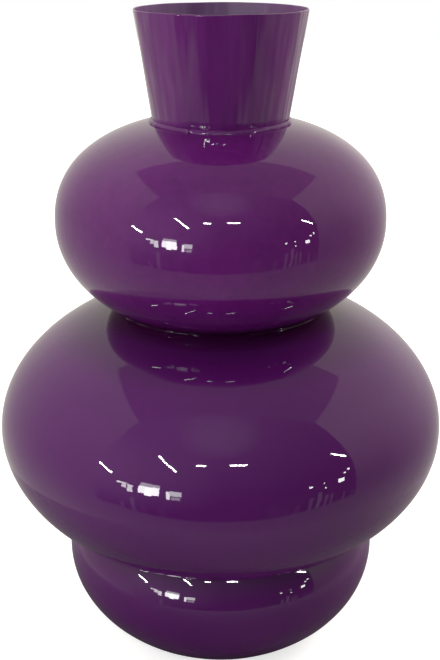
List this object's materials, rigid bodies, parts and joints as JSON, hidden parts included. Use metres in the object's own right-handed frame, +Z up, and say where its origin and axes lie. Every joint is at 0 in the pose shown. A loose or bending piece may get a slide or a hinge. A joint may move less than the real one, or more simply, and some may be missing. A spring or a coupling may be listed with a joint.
{
  "type": "enamel vase",
  "caption": "Glossy purple enamelled steel flower vase: a flared conical neck welded onto stacked hollow bulbs, the widest in the middle, on a flat ringed base.",
  "frame": {"origin": "middle of the base ring, on the surface that the vase stands on", "axes": "+Z up along the vase's own axis, -Y towards the viewer of the picture, with the neck's rolled seam at +Y"},
  "size_m": [0.2812, 0.2812, 0.4001],
  "materials": {
    "purple_enamel": "high gloss"
  },
  "bodies": {
    "root": {"neck": "purple_enamel", "neck_seam_weld": "purple_enamel", "neck_weld_bead": "purple_enamel", "upper_bulb_top_shell": "purple_enamel", "upper_bulb_seam_weld": "purple_enamel", "upper_bulb_bottom_shell": "purple_enamel", "waist_weld_bead": "purple_enamel", "lower_bulb_top_shell": "purple_enamel", "lower_bulb_seam_weld": "purple_enamel", "lower_bulb_bottom_shell": "purple_enamel", "foot_weld_bead": "purple_enamel", "foot_top_shell": "purple_enamel", "foot_seam_weld": "purple_enamel", "foot_bottom_shell": "purple_enamel"}
  },
  "joints": []
}
